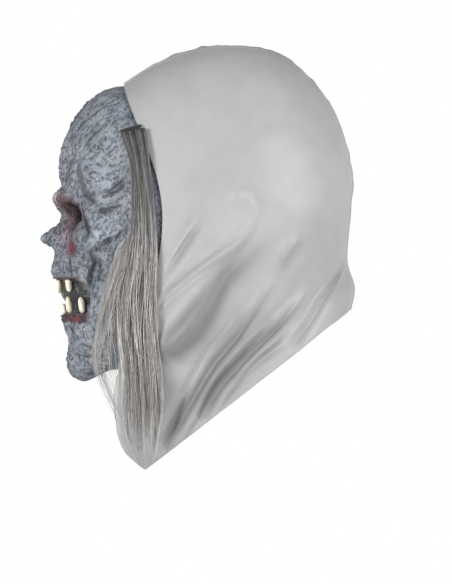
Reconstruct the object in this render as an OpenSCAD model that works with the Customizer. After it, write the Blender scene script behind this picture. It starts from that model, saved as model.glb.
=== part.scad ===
// Zombie head mask: a cast latex face with set teeth, sewn into a stretch-fabric hood, with two
// hanging locks of hair. Millimetres, +Z up, the face looks along -Y and +X is the wearer's left.
// The origin is the middle of the wearer's head, between the ears.

/* [Hood] */
// Half the width of the hood at its widest
hood_half_w = 84; // [80:1:88]
// Thickness of the stretch fabric
fabric = 1.2; // [0.9:0.1:1.4]
// Width of the turned hems
hem_w = 10; // [6:1:12]
// Half the width of the seam allowances, as an angle round the hood
seam_half_angle = 2.5; // [2:0.5:4]

/* [Face] */
// Wall of the cast latex
latex = 2.4; // [1.8:0.1:2.6]
// How far the nose stands out
nose_reach = 16.5; // [12:0.5:18]
// How far the brow bumps stand out
brow_reach = 9; // [5:1:11]
// Width of an eye hole
eye_w = 21; // [18:1:22]
// Height of an eye hole
eye_h = 24; // [18:1:25]
// Distance of each eye hole from the middle
eye_x = 30; // [29:1:32]

/* [Mouth] */
// Wall of the rubber insert behind the lips
insert_wall = 2.5; // [2:0.1:3]
// Radius of a tooth at its neck
tooth_r = 2.7; // [2.3:0.1:3]

/* [Hair] */
// Thickness of a lock at its fullest, as a share of the drawn one
lock_fullness = 1; // [0.8:0.05:1.2]
// Radius of a loose wisp
wisp_r = 1; // [0.8:0.1:1.3]

/* [Hidden] */

// Colours
LATEX_BLUE = [0.38, 0.45, 0.52];
HOOD_GREY = [0.78, 0.80, 0.82];
THREAD_GREY = [0.62, 0.64, 0.66];
GUM_BLACK = [0.10, 0.12, 0.11];
IVORY = [0.86, 0.80, 0.62];
HAIR = [0.55, 0.50, 0.44];

// The hood as hoops stacked from the neck hem to the face edge. Each row is: place along the hood,
// back or crown midline (y, z), throat midline (y, z), share of the half width.
HOOPS = [
    [0.00,  94, -66, -70, -194, 0.79],
    [0.06,  96, -50, -78, -188, 0.80],
    [0.14,  90, -28, -86, -181, 0.83],
    [0.28,  93,  12, -92, -169, 0.90],
    [0.42,  93,  50, -94, -156, 0.96],
    [0.56,  75, 100, -95, -145, 1.00],
    [0.70,  38, 136, -95, -136, 1.00],
    [0.82, -10, 144, -94, -129, 0.95],
    [0.92, -58, 132, -93, -122, 0.89],
    [1.00, -88, 115, -92, -118, 0.83]
];
// How far the hoops are from ellipses towards rounded boxes
SQUARENESS = 0.16;
// The face's edge runs back from the last hoop at the cheeks: by this share, with this lean downward
CHEEK_SETBACK = 0.16;
CHEEK_LEAN = 0.7;
CHEEK_POWER = 1.8;
// Air left between neighbouring layers of the hood, for the facets of their grids
LAYER_GAP = 0.6;
// The latex edge lies this deep under the hood's outer surface
EDGE_DEPTH = 3.2;
// The turned hem stops this short of the face edge
HEM_SETBACK = 1.5;
// Middle of the face's grid, on the root of the nose
FACE_POLE = [0, -138, 6];

// Features pushed out of the plain face. Each row is: centre, reach along the axes, push.
FEATURES = [
    [[0, -130, 56],    [60, 40, 31], [0, -5, 3]],
    [[22, -136, 20.5], [19, 18, 7],  [0, -brow_reach, 0]],
    [[0, -140, 31],    [40, 18, 5],  [0, 3, 0]],
    [[26, -130, 7],    [10, 18, 12], [0, 8, 0]],
    [[0, -136, 9],     [10, 18, 8],  [0, 1, 0]],
    [[0, -142, -9],    [8, 26, 7],   [0, -nose_reach, 0]],
    [[0, -140, -20],   [11, 18, 8],  [0, -3, 0]],
    [[21, -132, -14],  [9, 16, 12],  [0, 6, 0]],
    [[48, -112, -10],  [17, 20, 11], [6, -7, 0]],
    [[52, -100, -48],  [18, 26, 22], [-9, 4, 0]],
    [[0, -134, -37],   [27, 20, 13], [0, -8.5, 0]],
    [[0, -128, -72],   [25, 20, 10], [0, -5, 0]],
    [[0, -116, -103],  [29, 28, 16], [0, -9.5, -13.5]],
    [[0, -102, -116],  [38, 15, 13], [0, 0, -7]],
    [[0, -130, -88],   [24, 16, 6],  [0, 2, 0]],
    [[66, -98, 34],    [14, 22, 20], [-5, 3, 0]],
    [[49, -118, 40],   [8, 14, 18],  [3, -4, 0]]
];
// The features fade in over this angle from the face's edge, so the edge stays on the hood
FADE_ANGLE = 24;

// Grids
FACE_COLS = 60;
FACE_ROWS = 30;
// Above 1, the face's rows crowd towards the pole, where the nose is
FACE_CROWDING = 1.7;
FLANGE_ROWS = 2;
PANEL_COLS = FACE_COLS / 2;
PANEL_ROWS = 20;
SEAM_ROWS = 22;

// The mouth's opening from the side (y, z)
MOUTH = [
    [-165, -42], [-127, -42], [-119, -47], [-114, -55], [-113.6, -61.6],
    [-116, -68], [-119, -72], [-133, -70.5], [-137, -72], [-165, -72]
];
MOUTH_HALF_W = 60;
EYE_Z = 7;
// The eye holes lean: their lower ends stand further out
EYE_ROLL = -15;
// Behind its edge, each eye hole's latex turns in as a sleeve that ends here, ahead of the wearer's eye
EYE_SLEEVE_Y = -119;
EYE_FRONT_Y = -160;
// A point well behind the face, for closing it into a solid
CORE_BACK = [0, -60, 0];

// The dental arches: their middle, and half width and depth of each gum's outer edge
ARCH_Y = -100;
UPPER_ARCH = [44, 41];
LOWER_ARCH = [42, 34];
GUM_W = 6;
GUM_TOP = -36;
UPPER_GUM_Z = -42.5;
LOWER_GUM_Z = -71.5;
GUM_BOTTOM = -75;
// Outer edge of the lining behind the upper and the lower teeth, and the height of the step between
UPPER_LINING = [41, 37];
LOWER_LINING = [40, 31];
LINING_STEP_Z = -58;
ARCH_STEPS = 14;

// Teeth: place (x, y), z at the gum, tip z, radius share
UPPER_INNER = [6.5, -140.2, -41, -54, 1];
UPPER_OUTER = [28, -131.6, -41, -52.8, 1];
LOWER_INNER = [5, -135.4, -73, -62, 0.87];
LOWER_MIDDLE = [20.5, -131, -73, -56, 1.05];
LOWER_OUTER = [35.5, -120.6, -73, -56.6, 1.05];

// The weft that a lock hangs from
WEFT_MIDDLE = [62.4, -83, 76.5];
WEFT_SIZE = [3.6, 15, 3.2];
WEFT_TURN = [14.8, 0, -17.9];

// A lock, from its root to its tip. Each row is: place along it, z, front y, back y, front x,
// back x, thickness, rise from front to back
LOCK = [
    [0.00,   74, -88, -72, 62.6, 68.6, 2.5, 5],
    [0.08,   53, -83, -67, 67.2, 75.2, 5,   0],
    [0.20,   21, -81, -63, 69.6, 77.6, 6,   0],
    [0.29,   -3, -82, -61, 72,   79.2, 6,   0],
    [0.38,  -27, -86, -60, 71,   81.6, 6.5, 0],
    [0.50,  -59, -93, -60, 66.2, 81.6, 7,   0],
    [0.59,  -83, -94, -59, 66,   80,   7,   0],
    [0.70, -112, -91, -57, 67,   78,   7,   0],
    [0.80, -139, -90, -55, 66,   76,   7,   0],
    [0.89, -163, -88, -58, 64,   73,   6,   0],
    [0.95, -179, -82, -61, 64,   70,   5,   0],
    [1.00, -192, -75, -67, 66,   68,   3,   0]
];
LOCK_RINGS = 22;
LOCK_SIDE_POINTS = 6;
// Shares of the thickness at the lock's edges and in the hollow of its inner side
LOCK_EDGE_SHARE = 0.35;
LOCK_HOLLOW_SHARE = 0.12;

// A wisp that leaves the lock at the cheekbone and comes back to its tip: place along it, x, y, z
WISP = [
    [0.00, 73.5, -83,  -18],
    [0.10, 72,   -93,  -29],
    [0.24, 69,   -103, -51],
    [0.38, 66,   -109, -75],
    [0.48, 65,   -111, -95],
    [0.64, 65,   -103, -122],
    [0.78, 66,   -91,  -147],
    [0.92, 67,   -78,  -170],
    [1.00, 68,   -72,  -184]
];
WISP_RINGS = 20;
WISP_SIDES = 6;
WISP_TIP_SHARE = 0.5;

// ---- Curves and surfaces ----

function mix(a, b, k) = a + (b - a) * k;
function clamp01(k) = min(1, max(0, k));
function ease(k) = let (c = clamp01(k)) c * c * (3 - 2 * c);

// The row just before a place, in a table whose first column is the place
function row_at(rows, v) = max([for (i = [0:len(rows) - 2]) rows[i][0] <= v || i == 0 ? i : 0]);
function row_slope(rows, i) =
    let (a = rows[max(i - 1, 0)], b = rows[min(i + 1, len(rows) - 1)])
    (b - a) / (b[0] - a[0]);
// A smooth curve through the rows of a table
function smooth(rows, v) =
    let (
        i = row_at(rows, v),
        a = rows[i],
        b = rows[i + 1],
        h = b[0] - a[0],
        s = (v - a[0]) / h
    )
    (2 * s^3 - 3 * s^2 + 1) * a + (s^3 - 2 * s^2 + s) * h * row_slope(rows, i)
    + (3 * s^2 - 2 * s^3) * b + (s^3 - s^2) * h * row_slope(rows, i + 1);

// A point of the hood, t degrees round from the crown towards the left, this deep under its outside
function hood_point(v, t, depth) =
    let (
        r = smooth(HOOPS, v),
        back = [r[1], r[2]],
        throat = [r[3], r[4]],
        half = norm(back - throat) / 2,
        along = (half - depth) * cos(t) * (1 + SQUARENESS * sin(t)^2),
        across = (r[5] * hood_half_w - depth) * sin(t) * (1 + SQUARENESS * cos(t)^2),
        p = (back + throat) / 2 + along * (back - throat) / (2 * half)
    )
    [across, p[0], p[1]];

// Where the hood ends and the face starts
function face_edge(t) = 1 - CHEEK_SETBACK * sin(t)^2 * (1 - CHEEK_LEAN * cos(t))^CHEEK_POWER;
// The share of the hood's length that covers a distance, at a place on it
function hood_share(v, t, distance) =
    let (h = 0.02, a = hood_point(v, t, 0), b = hood_point(v - h, t, 0))
    distance * h / norm(a - b);

function wave_up(t) = max(0, cos(t))^1.5;
function wave_down(t) = max(0, -cos(t))^1.5;
// The plain face: q degrees in from its edge towards the pole, this deep under the latex's outside
function plain_face(t, q, depth) =
    let (
        edge = hood_point(face_edge(t), t, EDGE_DEPTH + depth),
        pole = FACE_POLE + [0, depth, 0],
        up = wave_up(t),
        down = wave_down(t),
        side = 1 - up - down,
        inward = cos(q)^(0.95 * up + side + 0.55 * down),
        forward = sin(q)^(0.90 * up + 1.45 * side + 0.72 * down)
    )
    [pole[0] + (edge[0] - pole[0]) * inward,
     edge[1] + (pole[1] - edge[1]) * forward,
     pole[2] + (edge[2] - pole[2]) * inward];

function bump(p, f) =
    let (d = [abs(p[0]) - f[0][0], p[1] - f[0][1], p[2] - f[0][2]])
    exp(-(d[0] / f[1][0])^2 - (d[1] / f[1][1])^2 - (d[2] / f[1][2])^2);
function total(list, i = 0) = i == len(list) - 1 ? list[i] : list[i] + total(list, i + 1);
function feature_push(p) =
    total([for (f = FEATURES) [sign(p[0]) * f[2][0], f[2][1], f[2][2]] * bump(p, f)]);
// The face with its features, which shift both skins alike
function face_point(t, q, depth) =
    plain_face(t, q, depth) + feature_push(plain_face(t, q, 0)) * ease(q / FADE_ANGLE);

// ---- Meshes ----

function quad(a, b, c, d) = [[a, b, c], [a, c, d]];
// The faces of a wall between two skins of rows x cols points, the outer skin's points first.
// closed: the last column joins the first. capped: one point more on each skin closes the last row.
function wall_faces(rows, cols, closed, capped) =
    let (n = rows * cols, gaps = closed ? cols : cols - 1, r = (rows - 1) * cols, pole = 2 * n)
    concat(
        [for (i = [0:rows - 2], j = [0:gaps - 1])
            let (a = i * cols + j, b = i * cols + (j + 1) % cols)
            each concat(quad(a, b, b + cols, a + cols), quad(n + a, n + a + cols, n + b + cols, n + b))],
        [for (j = [0:gaps - 1]) let (k = (j + 1) % cols) each quad(n + j, n + k, k, j)],
        capped
            ? [for (j = [0:gaps - 1])
                let (a = r + j, b = r + (j + 1) % cols)
                each [[a, b, pole], [n + b, n + a, pole + 1]]]
            : [for (j = [0:gaps - 1])
                let (a = r + j, b = r + (j + 1) % cols)
                each quad(a, b, n + b, n + a)],
        closed
            ? []
            : [for (i = [0:rows - 2])
                let (a = i * cols, z = a + cols - 1)
                each concat(quad(a, a + cols, n + a + cols, n + a), quad(z + cols, z, n + z, n + z + cols))]
    );

// Part of the hood's wall, between two depths. v_from and v_to are one value for each column.
module hood_piece(angles, v_from, v_to, rows, depth_out, depth_in, closed) {
    cols = len(angles);
    skins = [for (depth = [depth_out, depth_in], i = [0:rows - 1], j = [0:cols - 1])
        hood_point(mix(v_from[j], v_to[j], i / (rows - 1)), angles[j], depth)];
    polyhedron(skins, wall_faces(rows, cols, closed, false));
}

function reversed(faces) = [for (f = faces) [f[2], f[1], f[0]]];
function fan(ring) = [for (i = [1:len(ring) - 2]) [ring[0], ring[i], ring[i + 1]]];
// A solid through rings of points, closed at both ends
module ringed(rings) {
    sides = len(rings[0]);
    last = len(rings) - 1;
    polyhedron(
        [for (ring = rings) each ring],
        concat(
            [for (i = [0:last - 1], j = [0:sides - 1])
                let (a = i * sides + j, b = i * sides + (j + 1) % sides)
                each quad(b, a, a + sides, b + sides)],
            fan([for (j = [0:sides - 1]) j]),
            reversed(fan([for (j = [0:sides - 1]) last * sides + j]))
        )
    );
}

module right_side() {
    mirror([1, 0, 0]) children();
}

// ---- Face ----

function face_angle(u) = 90 - 90 * (1 - u)^FACE_CROWDING;

module face_wall() {
    rows = FLANGE_ROWS + FACE_ROWS;
    skins = [for (depth = [0, latex], i = [0:rows - 1], j = [0:FACE_COLS - 1])
        let (t = j * 360 / FACE_COLS, v = face_edge(t), flange = hood_share(v, t, hem_w))
        i < FLANGE_ROWS
            ? hood_point(v - flange * (1 - i / FLANGE_ROWS), t, EDGE_DEPTH + depth)
            : face_point(t, face_angle((i - FLANGE_ROWS) / FACE_ROWS), depth)];
    poles = [face_point(0, 90, 0), face_point(0, 90, latex)];
    polyhedron(concat(skins, poles), wall_faces(rows, FACE_COLS, true, true));
}

// The space behind the middle of the latex, for trimming what stands up to it from inside
module face_core() {
    skin = [for (i = [0:FACE_ROWS - 1], j = [0:FACE_COLS - 1])
        face_point(j * 360 / FACE_COLS, face_angle(i / FACE_ROWS), latex / 2)];
    n = len(skin);
    polyhedron(
        concat(skin, [face_point(0, 90, latex / 2), CORE_BACK]),
        concat(
            [for (i = [0:FACE_ROWS - 2], j = [0:FACE_COLS - 1])
                let (a = i * FACE_COLS + j, b = i * FACE_COLS + (j + 1) % FACE_COLS)
                each quad(a, b, b + FACE_COLS, a + FACE_COLS)],
            [for (j = [0:FACE_COLS - 1])
                let (k = (j + 1) % FACE_COLS, last = n - FACE_COLS)
                each [[last + j, last + k, n], [n + 1, k, j]]]
        )
    );
}

// An eye hole's outline, grown by a margin, from the front back to a place along Y
module eye_bore(grow, back_y) {
    translate([eye_x, back_y, EYE_Z])
        rotate([90, EYE_ROLL, 0])
            linear_extrude(back_y - EYE_FRONT_Y)
                scale([eye_w / 2 + grow, eye_h / 2 + grow])
                    circle(r = 1, $fn = 40);
}

module eye_sleeve() {
    intersection() {
        eye_bore(latex, EYE_SLEEVE_Y);
        face_core();
    }
}

module mouth_cut() {
    rotate([90, 0, 90])
        linear_extrude(2 * MOUTH_HALF_W, center = true)
            polygon(MOUTH);
}

module face_shell() {
    color(LATEX_BLUE)
        resize([0, 0, 0])
            difference() {
                union() {
                    face_wall();
                    eye_sleeve();
                    right_side() eye_sleeve();
                }
                eye_bore(0, CORE_BACK[1]);
                right_side() eye_bore(0, CORE_BACK[1]);
                mouth_cut();
            }
}

// ---- Mouth ----

// Half an ellipse round the mouth
function arch_curve(arch) =
    [for (i = [-ARCH_STEPS:ARCH_STEPS])
        let (t = i * 90 / ARCH_STEPS)
        [arch[0] * sin(t), ARCH_Y - arch[1] * cos(t)]];

module arch_band(arch_out, arch_in, z_from, z_to) {
    outer = arch_curve(arch_out);
    inner = arch_curve(arch_in);
    translate([0, 0, z_from])
        linear_extrude(z_to - z_from)
            polygon(concat(outer, [for (i = [len(inner) - 1:-1:0]) inner[i]]));
}

module mouth_insert() {
    gum = [GUM_W, GUM_W];
    upper_in = UPPER_LINING - [insert_wall, insert_wall];
    lower_in = LOWER_LINING - [insert_wall, insert_wall];
    color(GUM_BLACK)
        union() {
            arch_band(UPPER_ARCH, UPPER_ARCH - gum, UPPER_GUM_Z, GUM_TOP);
            arch_band(UPPER_ARCH, upper_in, GUM_TOP, GUM_TOP + insert_wall);
            arch_band(UPPER_LINING, upper_in, LINING_STEP_Z, GUM_TOP);
            arch_band(UPPER_LINING, lower_in, LINING_STEP_Z - insert_wall, LINING_STEP_Z);
            arch_band(LOWER_LINING, lower_in, GUM_BOTTOM, LINING_STEP_Z);
            arch_band(LOWER_ARCH, LOWER_ARCH - gum, GUM_BOTTOM, LOWER_GUM_Z);
            arch_band(LOWER_ARCH, lower_in, GUM_BOTTOM - insert_wall, GUM_BOTTOM);
        }
}

// A peg with a round tip; it points down when its tip is below its gum
module tooth(place) {
    length = abs(place[3] - place[2]);
    r = tooth_r * place[4];
    color(IVORY)
        translate([place[0], place[1], place[2]])
            rotate([place[3] < place[2] ? 180 : 0, 0, 0])
                rotate_extrude($fn = 24)
                    polygon([
                        [0, 0], [0.80 * r, 0], [r, 0.30 * length], [0.94 * r, 0.62 * length],
                        [0.72 * r, 0.86 * length], [0.36 * r, 0.97 * length], [0, length]
                    ]);
}

// ---- Hair ----

module weft() {
    color(GUM_BLACK)
        translate(WEFT_MIDDLE)
            rotate(WEFT_TURN)
                cube(WEFT_SIZE, center = true);
}

function lock_ring(u) =
    let (r = smooth(LOCK, u), n = LOCK_SIDE_POINTS - 1)
    [for (side = [0, 1], k = [0:n])
        let (
            s = side == 0 ? k / n : 1 - k / n,
            inner = LOCK_HOLLOW_SHARE * sin(180 * s),
            outer = LOCK_EDGE_SHARE + (1 - LOCK_EDGE_SHARE) * sin(180 * s),
            out = r[6] * lock_fullness * (side == 0 ? inner : outer)
        )
        [mix(r[4], r[5], s) + out, mix(r[2], r[3], s), r[1] + r[7] * (s - 0.5)]];

module lock() {
    color(HAIR)
        ringed([for (i = [0:LOCK_RINGS]) lock_ring(i / LOCK_RINGS)]);
}

function wisp_ring(u) =
    let (
        step = 0.01,
        p = smooth(WISP, u),
        ahead = smooth(WISP, min(1, u + step)) - smooth(WISP, max(0, u - step)),
        dir = [ahead[1], ahead[2], ahead[3]] / norm([ahead[1], ahead[2], ahead[3]]),
        outward = cross(dir, [0, dir[2], -dir[1]] / norm([0, dir[2], -dir[1]])),
        beside = cross(dir, outward),
        r = wisp_r * mix(1, WISP_TIP_SHARE, u)
    )
    [for (k = [0:WISP_SIDES - 1])
        let (a = k * 360 / WISP_SIDES)
        [p[1], p[2], p[3]] + r * (cos(a) * outward + sin(a) * beside)];

module wisp() {
    color(HAIR)
        ringed([for (i = [0:WISP_RINGS]) wisp_ring(i / WISP_RINGS)]);
}

// ---- Hood ----

module panel() {
    angles = [for (j = [0:PANEL_COLS]) j * 180 / PANEL_COLS];
    start = [for (t = angles) 0];
    end = [for (t = angles) face_edge(t)];
    color(HOOD_GREY)
        hood_piece(angles, start, end, PANEL_ROWS, 0, fabric, false);
}

// The inner seam allowance along one midline, between the neck hem and the face's flange
module midline_seam(middle, v_from, v_to) {
    angles = [for (j = [-1:1]) middle + j * seam_half_angle];
    color(THREAD_GREY)
        hood_piece(angles, [for (t = angles) v_from], [for (t = angles) v_to],
            SEAM_ROWS, fabric + LAYER_GAP, 2 * fabric + LAYER_GAP, false);
}

module crown_seam() {
    midline_seam(0, 0.05, 0.95);
}

module throat_seam() {
    midline_seam(180, 0.08, 0.78);
}

// The turned edge between the fabric and the latex flange
module face_edge_hem() {
    angles = [for (j = [0:FACE_COLS - 1]) j * 360 / FACE_COLS];
    end = [for (t = angles) face_edge(t) - hood_share(face_edge(t), t, HEM_SETBACK)];
    start = [for (j = [0:FACE_COLS - 1]) end[j] - hood_share(end[j], angles[j], hem_w - HEM_SETBACK)];
    color(HOOD_GREY)
        hood_piece(angles, start, end, FLANGE_ROWS + 1, fabric + LAYER_GAP, EDGE_DEPTH - LAYER_GAP, true);
}

module neck_hem() {
    v_near = 0.03;
    angles = [for (j = [0:FACE_COLS - 1]) j * 360 / FACE_COLS];
    end = [for (t = angles) hood_share(v_near, t, hem_w)];
    color(HOOD_GREY)
        hood_piece(angles, [for (t = angles) 0], end, 2,
            fabric + LAYER_GAP, 2 * fabric + LAYER_GAP, true);
}

face_shell();
mouth_insert();
tooth(UPPER_INNER);  // upper_left_inner_tooth
right_side() tooth(UPPER_INNER);  // upper_right_inner_tooth
tooth(UPPER_OUTER);  // upper_left_outer_tooth
right_side() tooth(UPPER_OUTER);  // upper_right_outer_tooth
tooth(LOWER_INNER);  // lower_left_inner_tooth
right_side() tooth(LOWER_INNER);  // lower_right_inner_tooth
tooth(LOWER_MIDDLE);  // lower_left_middle_tooth
right_side() tooth(LOWER_MIDDLE);  // lower_right_middle_tooth
tooth(LOWER_OUTER);  // lower_left_outer_tooth
right_side() tooth(LOWER_OUTER);  // lower_right_outer_tooth
weft();  // left_hair_weft
right_side() weft();  // right_hair_weft
lock();  // left_hair_lock
right_side() lock();  // right_hair_lock
wisp();  // left_hair_wisp
right_side() wisp();  // right_hair_wisp
panel();  // hood_left_panel
right_side() panel();  // hood_right_panel
crown_seam();
throat_seam();
face_edge_hem();
neck_hem();
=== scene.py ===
"""The looks of a zombie head mask: a cast latex face, a stretch hood, set teeth and two locks of hair.

Lengths here are millimetres in the frame's axes, turned into metres when a mesh is made. The hood's and
the face's curves are those of the CAD model, on finer grids.
"""

import math
import random

import bpy
import numpy as np
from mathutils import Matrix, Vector
from mathutils.kdtree import KDTree


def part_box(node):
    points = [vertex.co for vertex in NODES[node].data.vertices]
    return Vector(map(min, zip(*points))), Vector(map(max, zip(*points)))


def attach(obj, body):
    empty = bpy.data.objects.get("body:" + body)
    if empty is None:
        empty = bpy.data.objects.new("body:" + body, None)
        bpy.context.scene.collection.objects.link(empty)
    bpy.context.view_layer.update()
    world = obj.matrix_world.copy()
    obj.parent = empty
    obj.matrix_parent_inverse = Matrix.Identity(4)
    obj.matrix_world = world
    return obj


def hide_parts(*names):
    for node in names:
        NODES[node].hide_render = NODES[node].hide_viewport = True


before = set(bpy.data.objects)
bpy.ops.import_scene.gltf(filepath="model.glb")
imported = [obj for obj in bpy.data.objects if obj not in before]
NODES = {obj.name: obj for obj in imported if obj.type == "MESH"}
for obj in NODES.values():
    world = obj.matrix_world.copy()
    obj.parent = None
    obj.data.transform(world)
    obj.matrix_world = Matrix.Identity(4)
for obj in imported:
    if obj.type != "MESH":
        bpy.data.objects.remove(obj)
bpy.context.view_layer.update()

MM = 0.001

# ---------------------------------------------------------------- the hood's and the face's curves

HOOD_HALF_W = 84.0
FABRIC = 1.2
LATEX = 2.4
EDGE_DEPTH = 3.2
# Each row: place along the hood, crown midline (y, z), throat midline (y, z), share of the half width
HOOPS = np.array([
    [0.00, 94, -66, -70, -194, 0.79],
    [0.06, 96, -50, -78, -188, 0.80],
    [0.14, 90, -28, -86, -181, 0.83],
    [0.28, 93, 12, -92, -169, 0.90],
    [0.42, 93, 50, -94, -156, 0.96],
    [0.56, 75, 100, -95, -145, 1.00],
    [0.70, 38, 136, -95, -136, 1.00],
    [0.82, -10, 144, -94, -129, 0.95],
    [0.92, -58, 132, -93, -122, 0.89],
    [1.00, -88, 115, -92, -118, 0.83],
], float)
SQUARENESS = 0.16
CHEEK_SETBACK = 0.16
CHEEK_LEAN = 0.7
CHEEK_POWER = 1.8
FACE_POLE = np.array([0.0, -138.0, 6.0])
FACE_CROWDING = 1.7
FADE_ANGLE = math.radians(24)
# Features pushed out of the plain face: centre, reach along the axes, push
FEATURES = [
    ((0, -130, 56), (60, 40, 31), (0, -5, 3)),
    ((22, -136, 20.5), (19, 18, 7), (0, -9, 0)),
    ((0, -140, 31), (40, 18, 5), (0, 3, 0)),
    ((26, -130, 7), (10, 18, 12), (0, 8, 0)),
    ((0, -136, 9), (10, 18, 8), (0, 1, 0)),
    ((0, -142, -9), (8, 26, 7), (0, -16.5, 0)),
    ((0, -140, -20), (11, 18, 8), (0, -3, 0)),
    ((21, -132, -14), (9, 16, 12), (0, 6, 0)),
    ((48, -112, -10), (17, 20, 11), (6, -7, 0)),
    ((52, -100, -48), (18, 26, 22), (-9, 4, 0)),
    ((0, -134, -37), (27, 20, 13), (0, -8.5, 0)),
    ((0, -128, -72), (25, 20, 10), (0, -5, 0)),
    ((0, -116, -103), (29, 28, 16), (0, -9.5, -13.5)),
    ((0, -102, -116), (38, 15, 13), (0, 0, -7)),
    ((0, -130, -88), (24, 16, 6), (0, 2, 0)),
    ((66, -98, 34), (14, 22, 20), (-5, 3, 0)),
    ((49, -118, 40), (8, 14, 18), (3, -4, 0)),
]


def smooth_rows(rows, v):
    """A smooth curve through the rows of a table, at each place in v."""
    v = np.asarray(v, float)
    last = len(rows) - 1
    i = np.clip(np.searchsorted(rows[:, 0], v, side="right") - 1, 0, last - 1)

    def slope(k):
        lo, hi = np.maximum(k - 1, 0), np.minimum(k + 1, last)
        return (rows[hi] - rows[lo]) / (rows[hi, 0] - rows[lo, 0])[..., None]

    a, b = rows[i], rows[i + 1]
    h = (b[..., 0] - a[..., 0])[..., None]
    s = (v - a[..., 0])[..., None] / h
    start = (2 * s**3 - 3 * s**2 + 1) * a + (s**3 - 2 * s**2 + s) * h * slope(i)
    return start + (3 * s**2 - 2 * s**3) * b + (s**3 - s**2) * h * slope(i + 1)


def ease(k):
    k = np.clip(k, 0, 1)
    return k * k * (3 - 2 * k)


def bell(distance, width):
    """1 at no distance, falling off smoothly over about this width."""
    return np.exp(-((distance / width) ** 2))


def hood_point(v, t, depth):
    """A point of the hood, t radians round from the crown to the left, this deep under its outside."""
    v, t, depth = np.broadcast_arrays(v, t, depth)
    row = smooth_rows(HOOPS, v)
    by, bz, ty, tz, share = (row[..., k] for k in range(1, 6))
    half = np.hypot(by - ty, bz - tz) / 2
    along = (half - depth) * np.cos(t) * (1 + SQUARENESS * np.sin(t) ** 2) / (2 * half)
    across = (share * HOOD_HALF_W - depth) * np.sin(t) * (1 + SQUARENESS * np.cos(t) ** 2)
    return np.stack([across, (by + ty) / 2 + along * (by - ty), (bz + tz) / 2 + along * (bz - tz)], -1)


def face_edge(t):
    return 1 - CHEEK_SETBACK * np.sin(t) ** 2 * (1 - CHEEK_LEAN * np.cos(t)) ** CHEEK_POWER


def hood_share(v, t, distance):
    """The share of the hood's length that covers a distance, at a place on it."""
    step = 0.02
    gap = np.linalg.norm(hood_point(v, t, 0) - hood_point(v - step, t, 0), axis=-1)
    return distance * step / gap


def plain_face(t, q, depth):
    """The face without its features, q radians in from its edge towards the pole."""
    edge = hood_point(face_edge(t), t, EDGE_DEPTH + depth)
    pole = FACE_POLE + np.array([0, depth, 0])
    up = np.clip(np.cos(t), 0, 1) ** 1.5
    down = np.clip(-np.cos(t), 0, 1) ** 1.5
    side = 1 - up - down
    inward = np.clip(np.cos(q), 0, 1) ** (0.95 * up + side + 0.55 * down)
    forward = np.sin(q) ** (0.90 * up + 1.45 * side + 0.72 * down)
    return np.stack([
        pole[0] + (edge[..., 0] - pole[0]) * inward,
        edge[..., 1] + (pole[1] - edge[..., 1]) * forward,
        pole[2] + (edge[..., 2] - pole[2]) * inward,
    ], -1)


def feature_push(p, features):
    push = np.zeros(p.shape)
    side = np.sign(p[..., 0])
    for centre, reach, move in features:
        d = (np.abs(p[..., 0]) - centre[0], p[..., 1] - centre[1], p[..., 2] - centre[2])
        w = np.exp(-sum((d[k] / reach[k]) ** 2 for k in range(3)))
        push += w[..., None] * np.stack([side * move[0], move[1] + 0 * side, move[2] + 0 * side], -1)
    return push


# ---------------------------------------------------------------- small tools


def lattice(ix, iy, iz, seed):
    """A fixed pseudo-random number for each whole-number place."""
    n = ix * 374761393 + iy * 668265263 + iz * 2147483647 + seed * 1274126177
    n = (n ^ (n >> 13)) * 1103515245 & 0x7FFFFFFF
    n = (n ^ (n >> 16)) * 12820163 & 0x7FFFFFFF
    return n / 0x7FFFFFFF


def noise(p, size, seed=0):
    """Smooth noise from -1 to 1 with lumps about this size."""
    q = p / size
    base = np.floor(q).astype(np.int64)
    f = q - base
    f = f * f * (3 - 2 * f)
    total = 0
    for corner in range(8):
        c = [(corner >> k) & 1 for k in range(3)]
        w = 1
        for k in range(3):
            w = w * (f[..., k] if c[k] else 1 - f[..., k])
        total = total + w * lattice(base[..., 0] + c[0], base[..., 1] + c[1], base[..., 2] + c[2], seed)
    return 2 * total - 1


def grid_normals(p):
    """Outward normals of a grid of points whose rows run from the edge in and whose columns close up."""
    du = np.gradient(p, axis=0)
    dv = (np.roll(p, -1, axis=1) - np.roll(p, 1, axis=1)) / 2
    n = np.cross(dv, du)
    return n / np.maximum(np.linalg.norm(n, axis=-1, keepdims=True), 1e-9)


def tapered(along, slope, least):
    """1 along most of a line, falling to the least share at both its ends."""
    return np.minimum(1, slope * np.minimum(along, 1 - along) + least)


def to_segments(p, points):
    """The distance from each point p to a polyline, how far along it the nearest place is, 0 to 1, and
    the side of it in side view: -1 above and in front of a line that runs down and forward, else 1."""
    points = np.asarray(points, float)
    lengths = np.linalg.norm(np.diff(points, axis=0), axis=1)
    best = np.full(p.shape[:-1], 1e9)
    along = np.zeros(p.shape[:-1])
    side = np.ones(p.shape[:-1])
    done = 0
    for a, b, length in zip(points[:-1], points[1:], lengths):
        step = b - a
        k = np.clip(((p - a) @ step) / length**2, 0, 1)
        away = p - (a + k[..., None] * step)
        d = np.linalg.norm(away, axis=-1)
        near = d < best
        best = np.where(near, d, best)
        along = np.where(near, (done + k * length) / lengths.sum(), along)
        side = np.where(near, np.sign(step[-2] * away[..., -1] - step[-1] * away[..., -2]), side)
        done += length
    return best, along, side


def tube_faces(rings, sides, count=1):
    """Faces of closed tubes of rings x sides points, for count tubes one after another."""
    faces = []
    for i in range(rings - 1):
        for k in range(sides):
            a, b = i * sides + k, i * sides + (k + 1) % sides
            faces.append((a, b, b + sides, a + sides))
    faces.append(tuple(range(sides))[::-1])
    faces.append(tuple((rings - 1) * sides + k for k in range(sides)))
    size = rings * sides
    return [tuple(v + n * size for v in face) for n in range(count) for face in faces]


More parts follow.
